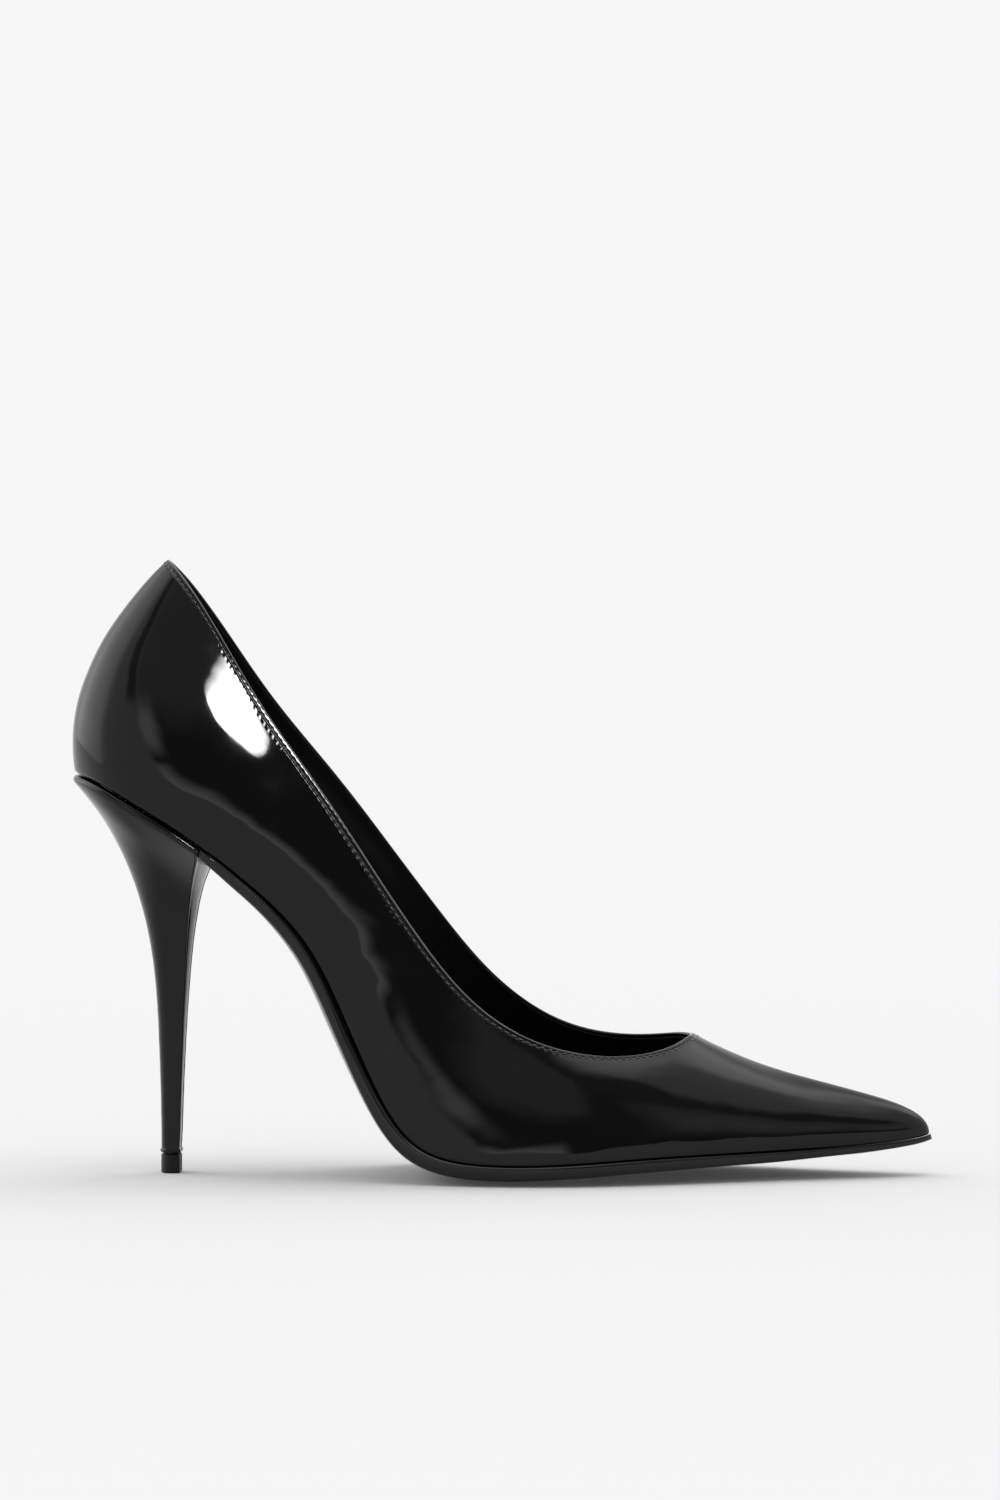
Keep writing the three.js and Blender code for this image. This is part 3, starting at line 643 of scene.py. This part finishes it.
def makeOutsole():
    v = soleValues
    f = np.linspace(0, 1, v["steps"])
    t = v["start"] + (14.985 - v["start"]) * np.sin(f * math.pi / 2)
    up = bottomUp(t)
    startInset, start = v["startInset"], v["start"]
    # the edge starts tucked under the heel and comes out to stand proud of the upper
    bead = startInset - (startInset + v["bead"]) * smooth(start + 0.08, start + 0.38, t)
    outer, inner = bottomEdge(t, bead), bottomEdge(around - t, bead)
    width = np.linalg.norm(inner - outer, axis=-1)
    edge, belly = atStation(v["edge"], t), atStation(v["belly"], t)

    def at(inset, depth, side):
        g = np.clip(inset / width, 0, 0.495)
        g = 1 - g if side > 0 else g
        point = outer * (1 - g[:, None]) + inner * g[:, None]
        point = point + up * (-v["gap"] - depth - crownDrop(t, point[:, 1]))[:, None]
        point[:, 2] = np.maximum(point[:, 2], 0)
        return point

    half = width / 2
    bevel = np.minimum(atStation(v["bevel"], t), half * 0.3)
    flat, lip, fall = half * 0, 0.12, bevel * v["bevelDepth"]
    profile = [(half * g, flat) for g in (0.98, 0.8, 0.6, 0.45)]    # pairs of inset and depth, top face first
    profile += [(bevel + half * 0.02, flat), (bevel + half * 0.004, flat + lip / 3), (bevel, flat + lip)]
    profile += [(bevel * (1 - g) + 0.03, lip + fall * g) for g in (0.35, 0.7, 0.94)]
    top = lip + fall + 0.08
    corner = np.minimum(edge * v["rounding"], half * 0.5)
    for a in np.linspace(0.02, 1, 14) * math.pi / 2:
        profile.append((corner * (1 - math.cos(a)) ** 1.15, top + (edge - top) * math.sin(a)))
    for g in np.linspace(0.06, 0.98, 15):
        inset = corner + (half - corner) * g
        w = 1 - inset / half
        profile.append((inset, edge + belly * (1 - w * w)))
    left = [at(i, d, -1) for i, d in profile]
    right = [at(i, d, 1) for i, d in profile]
    points = np.stack(left + right[::-1], 1)
    n = points.shape[1]
    faces = gridFaces(len(t), n, False, True) + capFaces(0, n, False) + capFaces((len(t) - 1) * n, n, True)
    return finishPiece(meshPiece("outsoleShaped", points, faces), soleMaterial, "sole_rubber", "outsole")


outsoleShaped = makeOutsole()

# heel

heelValues = {
    "stations": [
        [3.4, 104.6, 36.5, 87, 23.2, 23.4, -2.6],
        [8.2, 98.2, 35, 83.2, 18, 17.4, -2.4],
        [14.3, 86.6, 33.4, 77, 12, 10.2, -1.8],
        [17.7, 77.7, 32.2, 69, 8.6, 6.8, -1.6],
        [20, 69.5, 31.7, 62, 7, 5.6, -1.1],
        [21.6, 61.3, 31.4, 56, 6.1, 4.9, -0.9],
        [22.8, 51, 31, 49, 5.4, 4.5, -0.7],
        [23.5, 38, 30.5, 38, 4.8, 4.1, -0.5],
        [24, 23, 29.9, 23, 4.25, 3.8, -0.4],
        [24.2, 8.2, 29.5, 8.2, 3.9, 3.6, -0.2],
    ],
    "seat": [(2.6, 0.35), (1.4, 0.42), (0.7, 0.6), (0.25, 0.9), (0.02, 1.4), (0.0, 1.9)],    # inset, drop
    "turnedBead": [(7.0, 0), (6.75, 0.05), (6.5, 0.26), (6.2, 0.33), (5.9, 0.26), (5.65, 0.03), (5.5, -0.25)],
    "topPiece": [(0, -0.25), (0.12, -0.08), (0.35, 0.03), (2.5, 0.04), (4.7, 0.03), (5.0, -0.05),
                 (5.2, -0.3)],    # height, growth, as in the bead
    "front": 3.3, "levels": 150, "topLevels": 40, "slowWrinkle": 0.03, "fineWrinkle": 0.012,
    "rimRows": 11, "tipRows": 22, "fairing": 60,
}


seamSteps = np.array([0.006, 0.02, 0.04, 0.07, 0.1])    # shares of the half breast, close set by its seam


def heelLoopPoints(frontLateral, frontMedial, hollow, sideAt):
    places = np.concatenate([np.linspace(3.3, 1.2, 26), np.linspace(1.15, 0.02, 22)])
    breastSteps = np.concatenate([seamSteps, np.linspace(0.14, 0.97, 13)])
    middle = (frontLateral + frontMedial) / 2
    halfWidth = abs(frontLateral[1] - frontMedial[1]) / 2

    def breast(side, corner, f):
        point = middle * (1 - f) + corner * f
        away = f * halfWidth
        overlap = 0.16 * math.exp(-(away / 2.2) ** 2) if side > 0 else 0
        lap = overlap - 0.2 * math.exp(-(away / 0.22) ** 2)
        rim = 0.35 * max(0, (f - 0.8) / 0.2) ** 2
        return point - np.array([hollow * (1 - f * f) - lap + rim, 0, 0])
    lateral = [breast(-1, frontLateral, f) for f in breastSteps] + [sideAt(-1, t) for t in places]
    medial = [breast(1, frontMedial, f) for f in breastSteps] + [sideAt(1, t) for t in places]
    return np.array(lateral + medial[::-1])


def seatLoop(inset, drop, hollow=0.3):
    front = heelValues["front"]

    def sideAt(side, t):
        u = t if side < 0 else around - t
        return bottomEdge(np.array(float(u)), inset) - bottomUp(np.array(min(t, front))) * drop
    return heelLoopPoints(sideAt(-1, front), sideAt(1, front), hollow, sideAt)


def stemLoop(row, grow=0.0):
    backX, backZ, frontX, frontZ, half, frontHalf, hollow = row
    xb, xf, w, wf = backX - grow, frontX + grow, half + grow, frontHalf + grow
    roundness = (xf - xb) * 0.5

    def place(x, y):
        f = (x - xb) / (xf - xb)
        return np.array([x, y, backZ + (frontZ - backZ) * f])

    def sideAt(side, t):
        p = t / heelValues["front"]
        if p < 0.55:
            a = p / 0.55 * math.pi / 2
            return place(xb + roundness * (1 - math.cos(a)), side * w * math.sin(a))
        f = (p - 0.55) / 0.45
        soft = w + (wf - w) * (f * f * (3 - 2 * f) * 0.5 + f * 0.5)
        return place(xb + roundness + f * (xf - xb - roundness), side * soft)
    return heelLoopPoints(place(xf, -wf), place(xf, wf), hollow, sideAt)


def tipLoop(z, grow):
    # the last station's outline at height z, grown sideways
    last = heelValues["stations"][-1]
    return stemLoop([last[0], z, last[2], z, last[4], last[5], 0], grow)


def slopesThrough(values, steps):
    # monotone slopes, so that a level never bulges past its neighbours
    d = np.diff(values, axis=0) / steps
    m = np.zeros_like(values)
    m[1:-1] = np.where(d[1:] * d[:-1] > 0, 2 * d[1:] * d[:-1] / (d[1:] + d[:-1] + 1e-12), 0)
    m[0], m[-1] = d[0], d[-1]
    return m


def levelsBetween(levels, fine):
    steps = np.linalg.norm(np.diff(levels, axis=0), axis=-1).mean(1)
    knots = np.concatenate([[0], np.cumsum(steps)])
    flat = levels.reshape(len(levels), -1)
    slopes = slopesThrough(flat, steps[:, None])
    counts = np.maximum(2, np.round(fine * steps / knots[-1])).astype(int)
    rows = []
    for k, count in enumerate(counts):
        for f in np.arange(count) / count:
            rise = 3 * f ** 2 - 2 * f ** 3
            h = [1 - rise, f ** 3 - 2 * f ** 2 + f, rise, f ** 3 - f ** 2]
            rows.append(h[0] * flat[k] + h[1] * steps[k] * slopes[k] + h[2] * flat[k + 1] +
                        h[3] * steps[k] * slopes[k + 1])
    rows.append(flat[-1])
    return np.array(rows).reshape(len(rows), -1, 3)


def makeHeel():
    v = heelValues
    levels = [seatLoop(inset, drop) for inset, drop in v["seat"]]
    levels += [stemLoop(row) for row in v["stations"]]
    levels += [tipLoop(z, grow) for z, grow in v["turnedBead"]]
    points = levelsBetween(np.array(levels), v["levels"])
    rows, n = points.shape[0], points.shape[1]
    rim, tip = v["rimRows"], v["tipRows"]
    hold = np.clip((np.arange(rows) - rim) / 8, 0, 1) * np.clip((rows - tip - np.arange(rows)) / 8, 0, 1)
    for _ in range(v["fairing"]):    # fairs the side below the rim, so the reflections run evenly
        middle = (points[:-2] + points[2:]) / 2 - points[1:-1]
        points[1:-1] += middle * (0.5 * hold[1:-1])[:, None, None]
    inner = points.mean(1, keepdims=True)
    wrinkle = v["slowWrinkle"] * ripples(points, 0.55, 1.0) + v["fineWrinkle"] * ripples(points, 1.3, 4.0)
    depth = smooth(92, 84, points[..., 2]) * smooth(8, 14, points[..., 2])
    points = points + unit(points - inner) * (wrinkle * depth)[..., None]
    faces = gridFaces(rows, n, False, True) + capFaces(0, n, False) + capFaces((rows - 1) * n, n, True)
    heel = meshPiece("heelCovered", points, faces)
    return finishPiece(heel, heelPatent, "patent_leather_heel", "heel_cover", "heel_block")


def makeTopPiece():
    levels = [tipLoop(z, grow) for z, grow in heelValues["topPiece"]]
    points = levelsBetween(np.array(levels), heelValues["topLevels"])
    rows, n = points.shape[0], points.shape[1]
    faces = gridFaces(rows, n, False, True) + capFaces(0, n, False) + capFaces((rows - 1) * n, n, True)
    topPiece = meshPiece("topPieceShaped", points, faces)
    return finishPiece(topPiece, tipMaterial, "top_piece_plastic", "top_piece")


print("heel")
heelCovered = makeHeel()
topPieceShaped = makeTopPiece()

# topline stitches, set by geometry nodes along the topline

stitchValues = {"fromEdge": 1.6, "pitch": 2.1, "length": 1.5, "radius": 0.17, "tilt": 7.0}


def stitchPath():
    u = np.linspace(0, around, 900, endpoint=False)
    v = 1 - stitchValues["fromEdge"] / wallHeight(u)
    points = outerFace(u, v) - inward(u, v) * 0.02
    mesh = bpy.data.meshes.new("stitchPath")
    edges = [(i, (i + 1) % len(points)) for i in range(len(points))]
    mesh.from_pydata([tuple(p) for p in toFrame(points)], edges, [])
    normals = mesh.attributes.new("outward", "FLOAT_VECTOR", "POINT")
    normals.data.foreach_set("vector", (-inward(u, v)).astype(np.float32).ravel())
    path = bpy.data.objects.new("stitchPath", mesh)
    bpy.context.scene.collection.objects.link(path)
    return path


def stitchTree():
    tree = bpy.data.node_groups.new("toplineStitches", "GeometryNodeTree")
    face = tree.interface
    face.new_socket("Geometry", in_out="INPUT", socket_type="NodeSocketGeometry")
    for label in ("Pitch", "Length", "Radius"):
        face.new_socket(label, in_out="INPUT", socket_type="NodeSocketFloat")
    face.new_socket("Tilt", in_out="INPUT", socket_type="NodeSocketFloat")
    face.new_socket("Geometry", in_out="OUTPUT", socket_type="NodeSocketGeometry")
    nodes, links = tree.nodes, tree.links
    source, sink = nodes.new("NodeGroupInput"), nodes.new("NodeGroupOutput")
    toCurve = nodes.new("GeometryNodeMeshToCurve")
    spread = nodes.new("GeometryNodeCurveToPoints")
    spread.mode = "LENGTH"
    links.new(source.outputs["Geometry"], toCurve.inputs["Mesh"])
    links.new(toCurve.outputs["Curve"], spread.inputs["Curve"])
    links.new(source.outputs["Pitch"], spread.inputs["Length"])
    bead = nodes.new("GeometryNodeMeshUVSphere")
    bead.inputs["Segments"].default_value = 8
    bead.inputs["Rings"].default_value = 6
    bead.inputs["Radius"].default_value = 1.0
    size = nodes.new("ShaderNodeCombineXYZ")
    halfLength = nodes.new("ShaderNodeMath")
    halfLength.operation = "MULTIPLY"
    halfLength.inputs[1].default_value = 0.5
    links.new(source.outputs["Length"], halfLength.inputs[0])
    links.new(halfLength.outputs[0], size.inputs["Z"])
    links.new(source.outputs["Radius"], size.inputs["X"])
    links.new(source.outputs["Radius"], size.inputs["Y"])
    shape = nodes.new("GeometryNodeTransform")
    links.new(bead.outputs["Mesh"], shape.inputs["Geometry"])
    links.new(size.outputs[0], shape.inputs["Scale"])
    turn = nodes.new("FunctionNodeAlignRotationToVector")
    turn.axis = "Z"
    links.new(spread.outputs["Tangent"], turn.inputs["Vector"])
    outward = nodes.new("GeometryNodeInputNamedAttribute")
    outward.data_type = "FLOAT_VECTOR"
    outward.inputs["Name"].default_value = "outward"
    slant = nodes.new("FunctionNodeAxisAngleToRotation")
    links.new(outward.outputs["Attribute"], slant.inputs["Axis"])
    links.new(source.outputs["Tilt"], slant.inputs["Angle"])
    both = nodes.new("FunctionNodeRotateRotation")
    both.rotation_space = "GLOBAL"
    links.new(turn.outputs["Rotation"], both.inputs["Rotation"])
    links.new(slant.outputs["Rotation"], both.inputs["Rotate By"])
    place = nodes.new("GeometryNodeInstanceOnPoints")
    links.new(spread.outputs["Points"], place.inputs["Points"])
    links.new(shape.outputs["Geometry"], place.inputs["Instance"])
    links.new(both.outputs["Rotation"], place.inputs["Rotation"])
    real = nodes.new("GeometryNodeRealizeInstances")
    coat = nodes.new("GeometryNodeSetMaterial")
    coat.inputs["Material"].default_value = threadMaterial
    links.new(place.outputs["Instances"], real.inputs["Geometry"])
    links.new(real.outputs["Geometry"], coat.inputs["Geometry"])
    links.new(coat.outputs["Geometry"], sink.inputs["Geometry"])
    return tree


def bakeNodes(source, tree, values, name):
    modifier = source.modifiers.new("rule", "NODES")
    modifier.node_group = tree
    for item in tree.interface.items_tree:
        if item.in_out == "INPUT" and item.name in values:
            modifier[item.identifier] = values[item.name]
    depsgraph = bpy.context.evaluated_depsgraph_get()
    mesh = bpy.data.meshes.new_from_object(source.evaluated_get(depsgraph))
    source.modifiers.remove(modifier)
    mesh.name = name
    piece = bpy.data.objects.new(name, mesh)
    bpy.context.scene.collection.objects.link(piece)
    bpy.data.objects.remove(source)
    mesh.polygons.foreach_set("use_smooth", [True] * len(mesh.polygons))
    return piece


print("stitches")
s = stitchValues
toplineStitches = bakeNodes(stitchPath(), stitchTree(), {
    "Pitch": s["pitch"] * 0.001, "Length": s["length"] * 0.001, "Radius": s["radius"] * 0.001,
    "Tilt": math.radians(s["tilt"])}, "toplineStitches")
finishPiece(toplineStitches, threadMaterial, "patent_leather")

# carried-over CAD pieces get their own materials

slotOf = {part["node"]: part["material_slot"] for part in frame["record"]["subparts"]}
replaced = {"upper", "quarter_lining", "vamp_lining", "heel_grip", "toe_puff", "heel_counter", "sock_foam",
            "sock_liner", "outsole", "heel_cover", "heel_block", "top_piece"}
for node, piece in frame["nodes"].items():
    if node not in replaced:
        piece.data.materials.clear()
        piece.data.materials.append(partMaterials[slotOf[node]])

# stage, lights, camera

stageValues = {
    "background": 0.925, "floorGlow": 0.04, "floorAlbedo": 0.76, "room": 0.13, "floorHalf": 6.0,
    # studio panels: azimuth low, high and slant per degree of height, height low, high, softness, radiance
    "panels": [
        (-260, 260, 0, 25, 110, 7, 0.5),
        (40, 75, 0, 9, 30, 8, 0.75),
        (-70, 14, 0, -8, 2.5, 3.5, 2.0),
        (-60, -7, -0.55, 11, 26, 6, 1.7),
        (-260, -16, -0.85, -20, 100, 4, 0.925),
        (-34, -18, -0.85, 26, 60, 4, 0.25),
        (23, 56, 0.1, 38, 72, 4, 0.2),
        (22, 36, 0.1, 8, 46, 6, 0.15),
        (64, 260, 0, -20, 120, 5, 0.925),
        (-260, 260, 0, 66, 110, 7, 2.2),
        (-138, -88, 0, -2, 62, 9, 1.9),
        (116, 148, 0, 38, 66, 9, 2.3),
    ],
}


def makeFloor():
    half = stageValues["floorHalf"]
    mesh = bpy.data.meshes.new("floor")
    corners = [(x * half, y * half, 0) for x, y in ((-1, -1), (1, -1), (1, 1), (-1, 1))]
    mesh.from_pydata(corners, [], [(0, 1, 2, 3)])
    floor = bpy.data.objects.new("floor", mesh)
    bpy.context.scene.collection.objects.link(floor)
    material = bpy.data.materials.new("paleSweep")
    material.use_nodes = True
    graph = Graph(material.node_tree)
    spot = graph.node("ShaderNodeTexCoord", {}, {}, out="Object")
    away = graph.node("ShaderNodeVectorMath", {"operation": "LENGTH"}, {0: spot}, out="Value")
    far = away.ramp(0.25, 1.1)
    v = stageValues
    glow = graph.node("ShaderNodeEmission", {}, {"Color": colour(1, 1, 1), "Strength": v["floorGlow"]})
    matte = graph.node("ShaderNodeBsdfDiffuse", {}, {"Color": colour(*[v["floorAlbedo"]] * 3)})
    near = graph.node("ShaderNodeAddShader", {}, {0: glow, 1: matte})
    flat = graph.node("ShaderNodeEmission", {}, {"Color": colour(1, 1, 1), "Strength": v["background"]})
    mixed = graph.node("ShaderNodeMixShader", {}, {0: far, 1: near, 2: flat})
    graph.node("ShaderNodeOutputMaterial", {}, {"Surface": mixed})
    mesh.materials.append(material)
    return floor


def makeWorld():
    # a dim room on the viewer's side with pale sweeps, bright panels and dark gaps in all directions
    v = stageValues
    world = bpy.data.worlds.new("studio")
    world.use_nodes = True
    bpy.context.scene.world = world
    graph = Graph(world.node_tree)
    way = graph.node("ShaderNodeTexCoord", {}, {}, out="Generated")
    parts = graph.node("ShaderNodeSeparateXYZ", {}, {0: way})
    x, y, z = parts.output("X"), parts.output("Y"), parts.output("Z")
    degrees = 180 / math.pi
    high = z.calc("ARCSINE", z) * degrees
    side = x.calc("ARCTAN2", x, 0 - y) * degrees
    strength = v["room"]
    for left, right, slant, low, top, soft, radiance in v["panels"]:
        across = side - high * slant
        here = (across.ramp(left - soft, left + soft) * across.ramp(right - soft, right + soft, 1.0, 0.0) *
                high.ramp(low - soft, low + soft) * high.ramp(top - soft, top + soft, 1.0, 0.0))
        strength = here * (radiance - strength) + strength
    sky = graph.node("ShaderNodeBackground", {}, {"Color": colour(1, 1, 1), "Strength": strength})
    graph.node("ShaderNodeOutputWorld", {}, {"Surface": sky})


# reaches the quarter only: azimuth and height in degrees, distance in metres
softboxValues = {
    "target": (-0.058, -0.022, 0.119), "azimuth": 21.5, "height": 28.5, "distance": 0.2,
    "size": (0.055, 0.115), "power": 0.02, "spread": 16, "roll": 24,
}


def makeSoftbox():
    v = softboxValues
    towards = Vector(v["target"])
    a, e = math.radians(v["azimuth"]), math.radians(v["height"])
    toBox = Vector((math.sin(a) * math.cos(e), -math.cos(a) * math.cos(e), math.sin(e)))
    at = towards + toBox * v["distance"]
    light = bpy.data.lights.new("griddedBox", "AREA")
    light.spread = math.radians(v["spread"])
    light.shape = "RECTANGLE"
    light.size, light.size_y = v["size"]
    light.energy = v["power"]
    lamp = bpy.data.objects.new("griddedBox", light)
    bpy.context.scene.collection.objects.link(lamp)
    lamp.location = at
    facing = (towards - at).to_track_quat("-Z", "Y")
    lamp.rotation_euler = (facing @ Quaternion((0, 0, 1), math.radians(v["roll"]))).to_euler()
    lamp.visible_camera = False
    lamp.visible_diffuse = False
    return lamp


cameraValues = {
    "azimuth": 3.0, "distance": 2.0, "height": 0.2, "aim": (117.5, 0, 116.5), "perMillimetre": 3.65,
    "sensor": 36, "frameHeight": 1.5,
}


def makeCamera():
    v = cameraValues
    aim = Vector(toFrame(v["aim"]))
    a = math.radians(v["azimuth"])
    eye = Vector((aim.x + math.sin(a) * v["distance"], aim.y - math.cos(a) * v["distance"], v["height"]))
    data = bpy.data.cameras.new("view")
    data.sensor_width = v["sensor"]
    data.lens = v["sensor"] * (aim - eye).length / (v["frameHeight"] / v["perMillimetre"])
    camera = bpy.data.objects.new("view", data)
    bpy.context.scene.collection.objects.link(camera)
    camera.location = eye
    camera.rotation_euler = (aim - eye).to_track_quat("-Z", "Y").to_euler()
    bpy.context.scene.camera = camera


print("stage")
makeFloor()
makeWorld()
makeSoftbox()
makeCamera()
bpy.context.scene.view_settings.view_transform = "Standard"
